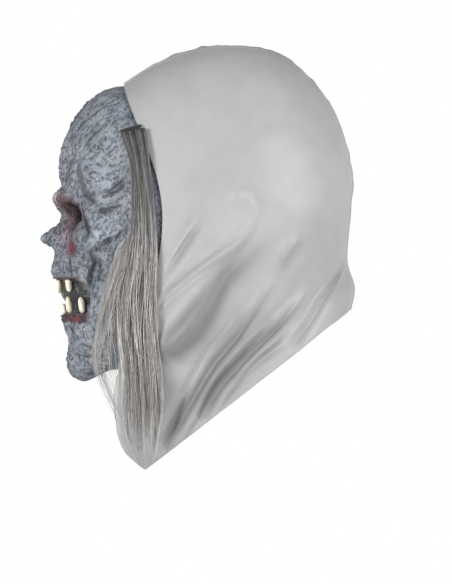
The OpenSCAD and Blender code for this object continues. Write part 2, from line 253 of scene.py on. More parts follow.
def new_mesh(name, points_mm, faces, body, material, values=None):
    """A mesh piece that rides on a body; values are named numbers, one for each point."""
    mesh = bpy.data.meshes.new(name)
    mesh.from_pydata((np.asarray(points_mm) * MM).tolist(), [], faces)
    mesh.validate()
    mesh.shade_smooth()
    for key, value in (values or {}).items():
        mesh.attributes.new(key, "FLOAT", "POINT").data.foreach_set("value", np.asarray(value, np.float32))
    piece = bpy.data.objects.new(name, mesh)
    bpy.context.scene.collection.objects.link(piece)
    mesh.materials.append(material)
    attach(piece, body)
    return piece


def wall_faces(rows, cols, closed, capped, keep=None):
    """Faces between two skins of rows x cols points; keep says which of the grid's cells stay."""
    n = rows * cols
    gaps = cols if closed else cols - 1
    i, j = np.meshgrid(np.arange(rows - 1), np.arange(gaps), indexing="ij")
    k = (j + 1) % cols
    if keep is None:
        keep = np.ones(i.shape, bool)
    a, b, c, d = i * cols + j, i * cols + k, (i + 1) * cols + k, (i + 1) * cols + j
    cells = np.stack([a, b, c, d], -1)[keep]
    faces = [cells, cells[:, ::-1] + n]
    edges = {}
    for x, y in ((a, b), (b, c), (c, d), (d, a)):
        for e in zip(x[keep].tolist(), y[keep].tolist()):
            if (e[1], e[0]) in edges:
                del edges[(e[1], e[0])]
            else:
                edges[e] = True
    tris = []
    if capped:
        last = (rows - 1) * cols
        for s in range(cols):
            x, y = last + s, last + (s + 1) % cols
            tris += [[x, y, 2 * n], [y + n, x + n, 2 * n + 1]]
            edges.pop((y, x), None)
    rim = [[y, x, x + n, y + n] for x, y in edges]
    return [f for part in faces for f in part.tolist()] + rim + tris


# ---------------------------------------------------------------- materials


class Shader:
    """A material being built: nodes are added by type and joined by sockets."""

    def __init__(self, name):
        self.material = bpy.data.materials.new(name)
        self.material.use_nodes = True
        self.tree = self.material.node_tree
        self.bsdf = self.tree.nodes["Principled BSDF"]

    def node(self, kind, **settings):
        node = self.tree.nodes.new(kind)
        for key, value in settings.items():
            if key in node.inputs:
                self.put(node.inputs[key], value)
            else:
                setattr(node, key, value)
        return node

    def put(self, socket, value):
        if isinstance(value, bpy.types.NodeSocket):
            self.tree.links.new(value, socket)
        else:
            socket.default_value = value

    def set(self, **values):
        """Sets or joins the shader's own sockets."""
        for key, value in values.items():
            self.put(self.bsdf.inputs[key.replace("_", " ")], value)

    def math(self, operation, a, b=0.0, clamp=False):
        node = self.tree.nodes.new("ShaderNodeMath")
        node.operation = operation
        node.use_clamp = clamp
        self.put(node.inputs[0], a)
        self.put(node.inputs[1], b)
        return node.outputs[0]

    def mix(self, share, a, b, blend="MIX"):
        node = self.tree.nodes.new("ShaderNodeMix")
        node.data_type = "RGBA"
        node.blend_type = blend
        self.put(node.inputs["Factor"], share)
        self.put(node.inputs["A"], a)
        self.put(node.inputs["B"], b)
        return node.outputs["Result"]

    def place(self):
        return self.tree.nodes.new("ShaderNodeTexCoord").outputs["Object"]

    def noise(self, scale, detail=3.0, roughness=0.55, stretch=None, seed=0.0):
        where = self.place()
        if stretch or seed:
            where = self.node("ShaderNodeMapping", Vector=where, Scale=stretch or (1, 1, 1),
                              Location=(seed, seed, seed)).outputs[0]
        node = self.node("ShaderNodeTexNoise", Vector=where, Scale=scale, Detail=detail, Roughness=roughness)
        return node.outputs["Fac"]

    def ramp(self, value, *stops):
        """Stops are (place, grey or colour)."""
        node = self.tree.nodes.new("ShaderNodeValToRGB")
        self.put(node.inputs[0], value)
        elements = node.color_ramp.elements
        while len(elements) < len(stops):
            elements.new(0.5)
        for element, (where, colour) in zip(elements, stops):
            element.position = where
            element.color = (*colour, 1) if hasattr(colour, "__len__") else (colour, colour, colour, 1)
        return node.outputs[0]

    def value(self, name):
        return self.node("ShaderNodeAttribute", attribute_name=name).outputs["Fac"]

    def bump(self, height, distance, strength):
        return self.node("ShaderNodeBump", Height=height, Distance=distance, Strength=strength).outputs[0]


def linear(level):
    return ((level / 255 + 0.055) / 1.055) ** 2.4 if level > 10 else level / 255 / 12.92


def colour(red, green, blue):
    """A linear colour from one as seen, 0 to 255."""
    return linear(red), linear(green), linear(blue)


def rgba(red, green, blue):
    return (*colour(red, green, blue), 1)


def latex_material():
    s = Shader("painted_latex")
    mottle = s.ramp(s.noise(38, 4), (0.35, colour(119, 125, 134)), (0.66, colour(149, 154, 162)))
    fine = s.ramp(s.noise(420, 3, 0.6), (0.40, 0.76), (0.60, 1.0))
    base = s.mix(0.7, mottle, fine, "MULTIPLY")
    # Painted shade in the carved hollows and painted highlight on the raised lines and lumps, from the
    # relief's height
    relief = s.ramp(s.value("relief"), (0.25, 0.42), (0.5, 0.92), (0.8, 1.22))
    base = s.mix(1.0, base, relief, "MULTIPLY")
    pink = s.math("MULTIPLY", s.value("wound"), s.ramp(s.noise(170, 4), (0.36, 0.25), (0.60, 1.0)))
    raw = s.ramp(s.noise(110, 2), (0.4, colour(104, 60, 72)), (0.62, colour(152, 112, 122)))
    base = s.mix(pink, base, raw)
    # A painted highlight on the brow bump
    base = s.mix(s.value("brow_highlight"), base, rgba(196, 178, 182))
    base = s.mix(s.value("blood"), base, rgba(104, 14, 26))
    lip = s.ramp(s.noise(260, 3, 0.6), (0.38, colour(34, 20, 22)), (0.60, colour(92, 52, 52)))
    base = s.mix(s.value("lip"), base, lip)
    specks = s.ramp(s.noise(330, 2, 0.5, seed=3.0), (0.36, 0.7), (0.43, 0.0))
    dark = s.math("MAXIMUM", s.value("groove"), specks, clamp=True)
    dark = s.math("MULTIPLY", dark, s.ramp(s.noise(190, 2), (0.3, 0.9), (0.5, 1.0)))
    base = s.mix(dark, base, rgba(33, 37, 48))
    # Painted shade, near-black brown, round and inside the eye holes
    base = s.mix(s.value("hole"), base,
                 s.ramp(s.noise(120, 2), (0.4, colour(22, 17, 15)), (0.6, colour(52, 38, 34))))
    rough = s.ramp(s.noise(90, 3), (0.35, 0.48), (0.7, 0.70))
    height = s.math("ADD", s.noise(700, 2), s.math("MULTIPLY", s.noise(170, 4), 1.5))
    s.set(Base_Color=base, Roughness=rough, Normal=s.bump(height, 0.0006, 0.6), Specular_IOR_Level=0.35)
    return s.material


def jersey_material():
    s = Shader("stretch_jersey")
    shade = s.ramp(s.noise(9, 3), (0.3, colour(147, 147, 148)), (0.7, colour(154, 154, 155)))
    shade = s.mix(1.0, shade, s.ramp(s.noise(70, 4, 0.6), (0.35, 0.975), (0.62, 1.015)), "MULTIPLY")
    # Painted shade in the folds' valleys and painted highlight on their ridges, from the fold value
    shade = s.mix(1.0, shade, s.ramp(s.value("fold"), (0.0, 0.55), (0.5, 1.0), (1.0, 1.14)), "MULTIPLY")
    stitches = [
        s.node("ShaderNodeTexWave", Vector=s.place(), Scale=scale, Distortion=0.6, Detail=1.0,
               bands_direction=way).outputs["Fac"]
        for way, scale in (("Y", 620.0), ("Z", 520.0))
    ]
    knit = s.math("MULTIPLY", *stitches)
    shade = s.mix(0.10, shade, s.ramp(knit, (0.0, 0.55), (0.5, 1.0)), "MULTIPLY")
    s.set(Base_Color=shade, Roughness=0.42, Normal=s.bump(knit, 0.00012, 0.35),
          Sheen_Weight=0.06, Sheen_Roughness=0.35, Specular_IOR_Level=0.4)
    return s.material


def tape_material(name, tint):
    s = Shader(name)
    ribs = s.node("ShaderNodeTexWave", Vector=s.place(), Scale=420.0, Distortion=1.0,
                  bands_direction="DIAGONAL").outputs["Fac"]
    fuzz = s.noise(900, 2)
    base = s.mix(0.45, tint, s.ramp(ribs, (0.1, 0.45), (0.7, 1.0)), "MULTIPLY")
    s.set(Base_Color=base, Roughness=0.85, Normal=s.bump(s.math("ADD", ribs, fuzz), 0.0003, 0.6),
          Sheen_Weight=0.3)
    return s.material


def hair_material():
    s = Shader("synthetic_hair")
    tone = s.ramp(s.value("tone"), (0.0, colour(48, 47, 49)), (0.35, colour(104, 102, 104)),
                  (0.65, colour(164, 161, 159)), (1.0, colour(228, 223, 217)))
    streak = s.ramp(s.noise(260, 2, stretch=(1, 1, 0.12)), (0.35, 0.72), (0.65, 1.08))
    base = s.mix(0.8, tone, streak, "MULTIPLY")
    s.set(Base_Color=base, Roughness=0.42, Specular_IOR_Level=0.5)
    return s.material


def tooth_material():
    s = Shader("stained_tooth")
    ivory = s.ramp(s.noise(140, 3, stretch=(1, 1, 0.5)),
                   (0.3, colour(222, 208, 178)), (0.6, colour(243, 235, 216)))
    stain = s.ramp(s.noise(330, 4, 0.6), (0.30, 0.55), (0.44, 1.0))
    base = s.mix(0.5, ivory, stain, "MULTIPLY")
    base = s.mix(s.value("root"), base, rgba(104, 72, 52))
    s.set(Base_Color=base, Roughness=0.28, Normal=s.bump(s.noise(500, 3), 0.0002, 0.5),
          Subsurface_Weight=0.05, Coat_Weight=0.4, Coat_Roughness=0.15)
    return s.material


def insert_material():
    s = Shader("wet_black_rubber")
    base = s.ramp(s.noise(160, 3), (0.35, colour(15, 15, 15)), (0.62, colour(36, 39, 38)),
                  (0.8, colour(62, 36, 34)))
    height = s.noise(240, 4)
    s.set(Base_Color=base, Roughness=s.ramp(s.noise(130, 2), (0.4, 0.38), (0.7, 0.55)),
          Normal=s.bump(height, 0.0012, 0.7), Coat_Weight=0.08, Coat_Roughness=0.35)
    return s.material


LATEX_LOOK = latex_material()
JERSEY = jersey_material()
SEAM_TAPE = tape_material("overlock_tape", rgba(150, 151, 152))
WEFT_TAPE = tape_material("black_weft_tape", rgba(30, 30, 34))
HAIR = hair_material()
TOOTH = tooth_material()
INSERT = insert_material()

# ---------------------------------------------------------------- the latex face

FACE_COLS = 640
FACE_ROWS = 300
FLANGE_ROWS = 4
FLANGE_LENGTH = 10.0
# Softer shapes on top of the CAD's features: centre, reach, push
SOFT_SHAPES = [
    ((40, -122, 26), (9, 9, 7), (1.5, -2.0, 0)),
    ((58, -101, 12), (9, 11, 7), (-3.0, 1.5, 0)),
    ((46, -120, -12), (8, 9, 9), (2.0, -2.0, 0)),
    ((18, -140, -30), (8, 14, 9), (0, -1.5, 0)),
    ((30, -128, -92), (11, 14, 10), (1.5, -1.5, 0)),
    ((0, -157, -6), (9, 6, 3.2), (0, 1.6, 1.5)),
    ((0, -154, -13), (9, 6, 3.5), (0, -1.2, -1.0)),
    ((9, -148, -10), (4, 8, 4), (1.5, -1.0, 0)),
    ((20, -146, 14), (16, 8, 3.5), (0, -1.6, 0)),
]
# Carved lines in side view: points (y, z), width, depth, how dark they are painted; on the thin lines that is
# dark paint, on the wide soft valleys (the orbital groove, the temple pit and the crease under the cheekbone)
# it is painted shade
CARVED = [
    ([(-122, 50), (-121.5, 42), (-119.3, 34), (-117, 27), (-112.6, 21.5), (-109, 18)], 2.6, 3.0, 0.35),
    ([(-123.8, 58), (-128.2, 48), (-132.7, 37), (-136, 29.4)], 1.9, 1.5, 0.45),
    ([(-106, 12), (-101.3, 10.6), (-96, 12)], 3.0, 2.8, 0.62),
    ([(-98.5, 14.2), (-91.8, 14.8)], 0.8, 0.9, 1.0),
    ([(-117.6, 5.8), (-116.5, -1), (-114.8, -6.6), (-117.6, -12.7)], 1.5, 2.2, 1.0),
    ([(-103.5, 26), (-96.8, 27.7), (-92.3, 32.2), (-86.7, 36.1)], 1.1, 1.3, 1.0),
    ([(-104, 22.5), (-98, 25), (-93, 26)], 0.9, 0.9, 0.95),
    ([(-102.4, -13.3), (-96.8, -9.9)], 1.3, 1.6, 1.0),
    ([(-93.4, -8.8), (-87.8, -4.9)], 1.1, 1.4, 0.95),
    ([(-112, -20), (-104, -15), (-95, -10)], 2.4, 1.6, 0.3),
    ([(-113.5, -20.5), (-109.9, -29), (-113.4, -37), (-115, -43), (-114.4, -48)], 1.9, 2.4, 0.8),
    ([(-108, -24), (-105.5, -34), (-108, -44)], 1.3, 1.2, 0.6),
    ([(-129.6, -24), (-129.4, -33), (-128.8, -40)], 0.8, 1.2, 1.0),
    ([(-86, 33), (-91, 28), (-99, 23)], 1.2, 1.2, 0.8),
    ([(-121, -93), (-112, -97), (-107, -104)], 1.1, 1.2, 0.85),
    ([(-125, -101), (-118, -104), (-112, -103)], 0.9, 1.0, 0.9),
    ([(-131, -79), (-127, -84), (-125, -89)], 1.1, 1.2, 0.9),
    ([(-131, -101), (-130, -107)], 1.2, 1.1, 0.8),
    ([(-137, 78), (-128, 90), (-116, 101)], 1.2, 1.2, 0.7),
    ([(-134, 62), (-125, 74), (-110, 88), (-98, 95)], 1.2, 1.3, 0.7),
    ([(-123, 55), (-112, 70), (-100, 80)], 1.0, 1.1, 0.7),
    ([(-146, -9), (-149, -13), (-146, -15)], 0.9, 0.9, 0.8),
    ([(-139, 20), (-141, 26), (-138, 32)], 0.9, 0.9, 0.7),
]
# Raised ridges in side view: points (y, z), width, height
RAISED = [
    ([(-121, 60), (-123.5, 50), (-126.5, 40), (-129.4, 29), (-127.5, 21)], 2.8, 1.8),
    ([(-118.5, 42), (-117, 34), (-115.5, 29)], 1.1, 1.2),
    ([(-125, 19), (-122.5, 9), (-119.5, 0), (-120, -9)], 2.2, 1.2),
    ([(-112, -10), (-104, -6), (-96, -2)], 5.0, 1.8),
    ([(-104, 4), (-97, 5), (-91, 8)], 2.6, 1.4),
    ([(-119, -30), (-119, -38), (-117.5, -46)], 2.6, 1.2),
]
MOUTH = np.array([
    (-165, -42), (-127, -42), (-119, -47), (-114, -55), (-113.6, -61.6),
    (-116, -68), (-119, -72), (-133, -70.5), (-137, -72), (-165, -72),
], float)
# The eye holes: place (x, z), half width and height, and the lean of their tops inward
EYE = (30.0, 7.0)
EYE_HALF = (10.5, 12.0)
EYE_ROLL = math.radians(-15)
SLEEVE_Y = -119.0
SLEEVE_WALL = 1.8
SLEEVE_INSET = 0.12
SLEEVE_ROWS = 10
SLEEVE_COLS = 96
RIM_RADIUS = 1.1
LIP_WIDTH = 5.0
STROKES_PER_SIDE = 2300
STROKE_CLEARANCE = 2.5


def mouth_distance(p):
    """How far outside the mouth's outline a point is, in side view; negative inside it."""
    side_view = p[..., 1:]
    distance, _, _ = to_segments(side_view, np.vstack([MOUTH, MOUTH[:1]]))
    inside = np.zeros(distance.shape, bool)
    for a, b in zip(MOUTH, np.roll(MOUTH, -1, axis=0)):
        crosses = (a[1] > side_view[..., 1]) != (b[1] > side_view[..., 1])
        rise = b[1] - a[1] if b[1] != a[1] else 1.0
        at = a[0] + (side_view[..., 1] - a[1]) * (b[0] - a[0]) / rise
        inside ^= crosses & (side_view[..., 0] < at)
    return np.where(inside, -distance, distance)


def eye_distance(p):
    """About how far outside the nearer eye hole a point is; negative inside it."""
    x = np.abs(p[..., 0]) - EYE[0]
    z = p[..., 2] - EYE[1]
    across = x * math.cos(EYE_ROLL) - z * math.sin(EYE_ROLL)
    up = x * math.sin(EYE_ROLL) + z * math.cos(EYE_ROLL)
    return (np.hypot(across / EYE_HALF[0], up / EYE_HALF[1]) - 1) * (EYE_HALF[0] + EYE_HALF[1]) / 2


def opening_distance(p):
    return np.minimum(mouth_distance(p), eye_distance(p))


def snap_to_rim(p):
    """Moves points onto the nearest opening's outline."""
    step = 0.05
    for _ in range(4):
        f = opening_distance(p)
        slope = np.stack([(opening_distance(p + step * np.eye(3)[k]) - f) / step for k in range(3)], -1)
        p = p - slope * (f / np.maximum((slope**2).sum(-1), 0.05))[..., None]
    return p


def stroke_direction(p, normal, rng):
    """The way a carved stroke runs: fanning back over the temple, up the forehead, loose elsewhere."""
    y, z = p[1], p[2]
    if abs(normal[1]) > 0.85 and abs(p[0]) < 30:
        angle = rng.gauss(0, 0.5)
        way = np.array([math.cos(angle), 0, math.sin(angle)])
    else:
        if z > 58:
            angle = math.radians(rng.gauss(42, 14))
        elif z > 8 and y > -118:
            angle = math.radians(rng.gauss(14, 16))
        elif z > 8:
            angle = math.radians(rng.gauss(66, 16))
        else:
            angle = math.radians(rng.gauss(75, 55))
        way = np.array([0, math.cos(angle), math.sin(angle)])
    way = way - normal * (way @ normal)
    return way / max(np.linalg.norm(way), 1e-6)


def carve_strokes(points, normals, side, rng, depth_out, paint_out):
    """Short carved strokes on one side, added to the depth and the dark paint of each grid point."""
    flat = points.reshape(-1, 3)
    flat_normals = normals.reshape(-1, 3)
    tree = KDTree(len(flat))
    for i, p in enumerate(flat.tolist()):
        tree.insert(p, i)
    tree.balance()
    cell = np.cross(np.gradient(points, axis=0), np.gradient(points, axis=1))
    candidates = np.flatnonzero((flat[:, 0] * side > -1) & (opening_distance(flat) > STROKE_CLEARANCE))
    reach = np.cumsum(np.linalg.norm(cell, axis=-1).ravel()[candidates])
    for _ in range(STROKES_PER_SIDE):
        i = candidates[np.searchsorted(reach, rng.random() * reach[-1])]
        p, normal = flat[i], flat_normals[i]
        if p[2] > 12 and p[1] > -118 and rng.random() < 0.12:
            continue
        way = stroke_direction(p, normal, rng)
        length = rng.uniform(1.5, 6.0) if rng.random() < 0.75 else rng.uniform(0.5, 1.5)
        width = rng.uniform(0.38, 0.78)
        depth = rng.uniform(0.45, 1.15)
        bend = np.cross(normal, way) * rng.gauss(0, 0.10) * length
        ends = [p - way * length / 2, p + bend, p + way * length / 2]
        near = [k for _, k, _ in tree.find_range(Vector(p), length / 2 + 3 * width)]
        if not near:
            continue
        d, along, _ = to_segments(flat[near], ends)
        w = bell(d, width) * tapered(along, 4, 0.35)
        depth_out[near] = np.maximum(depth_out[near], depth * w)
        paint_out[near] = np.maximum(paint_out[near], w * rng.uniform(0.6, 1.0))


def on_side(points, y, z, side):
    """The grid point nearest to a place in side view, on one side of the face."""
    flat = points.reshape(-1, 3)
    miss = (flat[:, 1] - y) ** 2 + (flat[:, 2] - z) ** 2 + np.where(flat[:, 0] * side > 0, 0, 1e6)
    return flat[np.argmin(miss)]


def eye_sleeve(rim_points, side):
    """The latex turned in round an eye hole: points, faces, and how far in each point is, 0 to 1."""
    own = rim_points[rim_points[:, 0] * side > 0]
    around = np.arctan2(own[:, 0] - side * EYE[0], own[:, 2] - EYE[1])
    order = np.argsort(around)
    a = np.arange(SLEEVE_COLS) * 2 * math.pi / SLEEVE_COLS
    k = np.linspace(0, 1, SLEEVE_ROWS)[:, None]
    roll = side * EYE_ROLL
    skins = []
    for grow in (SLEEVE_WALL, SLEEVE_INSET):
        u = (EYE_HALF[0] + grow) * np.sin(a)
        v = (EYE_HALF[1] + grow) * np.cos(a)
        x = side * EYE[0] + u * math.cos(roll) + v * math.sin(roll)
        z = EYE[1] - u * math.sin(roll) + v * math.cos(roll)
        turn = np.arctan2(x - side * EYE[0], z - EYE[1])
        front = np.interp(turn, around[order], own[order, 1], period=2 * math.pi) + 0.8
        y = SLEEVE_Y + (np.minimum(front, SLEEVE_Y - 0.5) - SLEEVE_Y) * k
        ripple = 0.25 * np.sin(7 * a + 5 * k) * (1 - k) * (grow < 1)
        skins.append(np.stack([x + ripple + 0 * y, y, z + ripple + 0 * y], -1).reshape(-1, 3))
    depth_in = np.tile(np.repeat(1 - k[:, 0], SLEEVE_COLS), 2)
    return np.concatenate(skins), wall_faces(SLEEVE_ROWS, SLEEVE_COLS, True, False), depth_in


def carved_lines(outer):
    """How far the carved and raised lines move the skin outward, and how dark they are painted."""
    relief = np.zeros(outer.shape[:2])
    groove = np.zeros(outer.shape[:2])
    marks = [(*mark[:2], -mark[2], mark[3]) for mark in CARVED] + [(*mark, 0.0) for mark in RAISED]
    for places, width, height, dark in marks:
        for side in (-1, 1):
            line = [on_side(outer, y, z, side) for y, z in places]
            d, along, _ = to_segments(outer, line)
            w = bell(d, width) * tapered(along, 3, 0.45)
            relief += height * w
            groove = np.maximum(groove, dark * w)
    return relief, groove


def cut_openings(shaped, outer, inner, normals):
    """Pulls both skins' edges onto the openings' outlines and rounds the rims. It gives the skins, which
    of the grid's cells stay, and the points on the outlines."""
    f = opening_distance(shaped)
    centre = f + np.roll(f, -1, axis=1)
    keep = (centre[:-1] + centre[1:]) / 4 > 0
    touched = np.zeros(f.shape, bool)
    kept = np.zeros(f.shape, bool)
    for mask, into in ((~keep, touched), (keep, kept)):
        into[:-1] |= mask | np.roll(mask, 1, axis=1)
        into[1:] |= mask | np.roll(mask, 1, axis=1)
    rim = touched & kept
    snapped = snap_to_rim(shaped[rim])
    shift = snapped - shaped[rim]
    outer[rim] += shift
    inner[rim] += shift
    f[rim] = 0
    to_round = RIM_RADIUS - np.clip(f, 0, RIM_RADIUS)
    short = RIM_RADIUS - np.sqrt(np.clip(RIM_RADIUS**2 - to_round**2, 0, None))
    turn = np.where(kept, short, 0)[..., None]
    return outer - normals * turn, inner + normals * turn, keep, snapped


def side_spot(p, centre, reach, power=1):
    """1 at a place (y, z) in side view, falling off over the reach each way."""
    y = (p[..., 1] - centre[0]) / reach[0]
    z = (p[..., 2] - centre[1]) / reach[1]
    return np.exp(-((y**2 + z**2) ** power))


def face_paint(shaped, mouth, eye, lower):
    """Where the paint goes, apart from the carving: for each kind its share at each point. The brow's share
    is a painted highlight and the hole's share is painted shade round the eye holes.
    """
    inner_side = ease((41 - np.abs(shaped[..., 0])) / 10)
    from_eye = np.clip(eye, 0, None)
    eye_ring = bell(from_eye, 5.0) * (0.25 + 0.75 * inner_side)
    brow = side_spot(shaped, (-140, 17), (7, 8))
    nose_side = side_spot(shaped, (-133, -8), (7, 12))
    upper_lip = bell(mouth, 1.6) * (1 - lower) * ease((-112 - shaped[..., 1]) / 10)
    ragged = mouth + 1.6 * noise(shaped, 3.0, 8)
    below = lower * ease((-112 - shaped[..., 1]) / 8) * ease((-66 - shaped[..., 2]) / 5)
    lower_lip = np.exp(-(np.clip(ragged, 0, None) / 6.4) ** 8) * below
    return {
        "wound": np.clip(0.9 * eye_ring + 0.75 * brow + 0.75 * nose_side, 0, 1),
        "blood": side_spot(shaped, (-128.8, -18), (3.2, 6.5), 1.5),
        # A painted highlight on the front of the brow bump, pale pink over the wound paint
        "brow_highlight": 0.85 * side_spot(shaped, (-146, 20), (5.5, 8), 1.5),
        "lip": np.clip(lower_lip + 0.85 * upper_lip, 0, 1),
        # Painted shade round the eye holes, wider and darker on the nose side
        "hole": bell(from_eye, 1.2 + 4.0 * inner_side) * (0.5 + 0.3 * inner_side),
    }


def flange_skin(t, depth):
    """The rows of the sewing flange, from its back end to the face's edge, at a depth in the hood."""
    share = hood_share(face_edge(t), t, FLANGE_LENGTH)[None, :]
    back = face_edge(t)[None, :] - share * (1 - np.arange(FLANGE_ROWS)[:, None] / FLANGE_ROWS)
    return hood_point(back, t[None, :], depth)


def whole_skin(values, elsewhere):
    """Values of the face's outside made up to every point, with one number for flange and inside."""
    flange = np.full((FLANGE_ROWS, FACE_COLS), elsewhere)
    outside = np.concatenate([flange, values]).ravel()
    return np.concatenate([outside, np.full(outside.size, elsewhere), [values[-1].mean(), elsewhere]])


def with_sleeves(points, faces, values, rim_points):
    """The face's mesh with a sleeve of turned-in latex round each eye hole."""
    for side in (1, -1):
        sleeve, sleeve_faces, depth_in = eye_sleeve(rim_points, side)
        faces += [[i + len(points) for i in face] for face in sleeve_faces]
        points = np.concatenate([points, sleeve])
        # Inside the sleeve the pink fades and painted shade deepens the further in it goes, through the hole
        # and relief shares
        dim = ease(depth_in / 0.5)
        own = {"wound": 0.8 - 0.5 * dim, "hole": 0.6 + 0.4 * dim, "relief": 0.3 + 0 * dim}
        values = {key: np.concatenate([value, own.get(key, 0 * depth_in)]) for key, value in values.items()}
    return points, faces, values


def only_used(points, faces, values):
    """The mesh without the points that no face uses."""
    used = np.zeros(len(points), bool)
    for face in faces:
        used[face] = True
    renumber = np.cumsum(used) - 1
    faces = [[int(renumber[i]) for i in face] for face in faces]
    return points[used], faces, {key: value[used] for key, value in values.items()}


def make_face():
    """Builds the latex face and gives the grid of its shaped skin."""
    t = np.arange(FACE_COLS) * 2 * math.pi / FACE_COLS
    u = np.arange(FACE_ROWS) / FACE_ROWS
    q = (math.pi / 2) * (1 - (1 - u) ** FACE_CROWDING)
    tt, qq = np.meshgrid(t, q)
    plain = plain_face(tt, qq, 0)
    fade = ease(qq / FADE_ANGLE)[..., None]
    outer = plain + feature_push(plain, FEATURES) * fade
    outer = outer + feature_push(outer, SOFT_SHAPES) * fade
    # Lines and lumps that both skins follow
    relief, groove = carved_lines(outer)
    lumps = 0.55 * noise(outer, 9, 1) + 0.35 * noise(outer, 4.5, 2)
    shaped = outer + grid_normals(outer) * ((relief + lumps) * fade[..., 0])[..., None]
    inner = shaped + plain_face(tt, qq, LATEX) - plain
    # Lips, eyelids and strokes on the outer skin only
    mouth = mouth_distance(shaped)
    eye = eye_distance(shaped)
    normals = grid_normals(shaped)
    lip = bell(mouth - 1.5, LIP_WIDTH) * (np.abs(shaped[..., 1] + 130) < 30)
    lower = ease((-60 - shaped[..., 2]) / 6)
    lid = bell(eye - 1.5, 2.2)
    depth = np.zeros(shaped.shape[0] * shaped.shape[1])
    paint = np.zeros(depth.shape)
    rng = random.Random(7)
    for side in (1, -1):
        carve_strokes(shaped, normals, side, rng, depth, paint)
    strokes = depth.reshape(mouth.shape) * fade[..., 0]
    raise_by = 1.0 * lip * (0.5 + 0.8 * lower) + 0.6 * lid - strokes + 0.22 * noise(shaped, 2.0, 3)
    outer = shaped + normals * (raise_by * fade[..., 0])[..., None]

    outer, inner, keep, snapped = cut_openings(shaped, outer, inner, normals)
    outer = np.concatenate([flange_skin(t, EDGE_DEPTH), outer])
    inner = np.concatenate([flange_skin(t, EDGE_DEPTH + LATEX), inner])
    cells = np.concatenate([np.ones((FLANGE_ROWS, FACE_COLS), bool), keep])
    poles = np.array([outer[-1].mean(0), inner[-1].mean(0)])
    points = np.concatenate([outer.reshape(-1, 3), inner.reshape(-1, 3), poles])
    faces = wall_faces(FACE_ROWS + FLANGE_ROWS, FACE_COLS, True, True, cells)
    values = {
        "groove": whole_skin(np.maximum(groove, paint.reshape(groove.shape)), 0.0),
        # The relief share sets the painted shade in hollows and the painted highlight on bumps
        "relief": whole_skin(np.clip(0.5 + 0.16 * (relief + lumps), 0, 1), 0.5),
    }
    for kind, share in face_paint(shaped, mouth, eye, lower).items():
        values[kind] = whole_skin(share, 0.0)
    rim_points = snapped[np.abs(eye_distance(snapped)) < 0.3]
    points, faces, values = only_used(*with_sleeves(points, faces, values, rim_points))
    face = new_mesh("latex_face", points, faces, "mask", LATEX_LOOK, values)
    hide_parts("face_shell")
    return shaped


FACE_SKIN = make_face()

# ---------------------------------------------------------------- the hood

PANEL_COLS = 190
PANEL_ROWS = 300
# Assumed: the area of the worn cloth over the area it was cut to
PANEL_STRETCH = 1.08
LAYER_GAP = 0.6
HEM_LENGTH = 10.0
HEM_SETBACK = 1.5
SEAM_HALF_ANGLE = math.radians(2.5)
RIGHT_FOLD_SHARE = 0.8
# How far a fold's ridges stand from its valley and how wide they are, in the valley's half widths
RIDGE_PLACE = 1.9
RIDGE_WIDTH = 1.1
# How far the hems' rolled edges reach, as a share of the panel's length
ROLL_REACH = 0.012
# Folds in side view, the long ones from their upper ends: points (y, z), half width and depth of the
# valley (below zero for a low ridge), and heights of the ridges in front of and behind it
FOLDS = [
    ([(34, -30), (27, -46), (15, -66), (2, -87), (-15, -107), (-29, -130), (-40, -150), (-50, -171)],
     4.0, 7.0, 4.2, 2.4),
    ([(62, -46), (46, -66), (29, -85), (12, -101), (-2, -116), (-12, -128), (-22, -148)], 3.8, 7.0, 3.2, 2.2),
    ([(54, -6), (45, -18), (34, -32)], 5.0, 1.6, 0.6, 0.5),
    ([(93, -24), (81, -42), (70, -59), (60, -77), (49, -92)], 3.0, 3.0, 1.4, 1.0),
    ([(38, 4), (19, -9), (5, -27), (-9, -42), (-22, -63), (-34, -80), (-48, -95), (-62, -100)],
     10.0, 6.5, 2.4, 3.2),
    ([(19, 15), (12, -3), (2, -15), (-14, -25), (-31, -37), (-48, -51), (-59, -63)], 2.6, -2.6, -1.0, -1.4),
    ([(-17, 11), (-31, -4), (-45, -25), (-60, -44)], 2.6, 2.8, 1.2, 1.2),
    ([(43, -89), (21, -106), (5, -120)], 3.6, 3.0, 1.4, 1.2),
    ([(21, 3), (19, 18), (14, 25), (5, 26), (-2, 21)], 2.4, -1.2, 0.0, 0.0),
]
# Soft swellings and hollows: centre in side view, radius, height
SWELLINGS = [
    ((10, 8), 14.0, 1.6),
    ((70, -80), 16.0, 1.5),
    ((-26, -84), 30.0, -4.5),
    ((-42, -130), 24.0, -1.5),
]


def plain_panel():
    """The grid of the left panel without its folds."""
    t = np.linspace(0, math.pi, PANEL_COLS)[None, :]
    return hood_point(np.linspace(0, 1, PANEL_ROWS)[:, None] * face_edge(t), t, 0)


def side_lines():
    """The folds' lines and the swellings' centres, laid on the left of the plain hood."""
    grid = plain_panel()
    lines = [[on_side(grid, y, z, 1) for y, z in fold[0]] for fold in FOLDS]
    centres = [on_side(grid, y, z, 1) for (y, z), _, _ in SWELLINGS]
    return lines, centres


FOLD_LINES, SWELLING_CENTRES = side_lines()


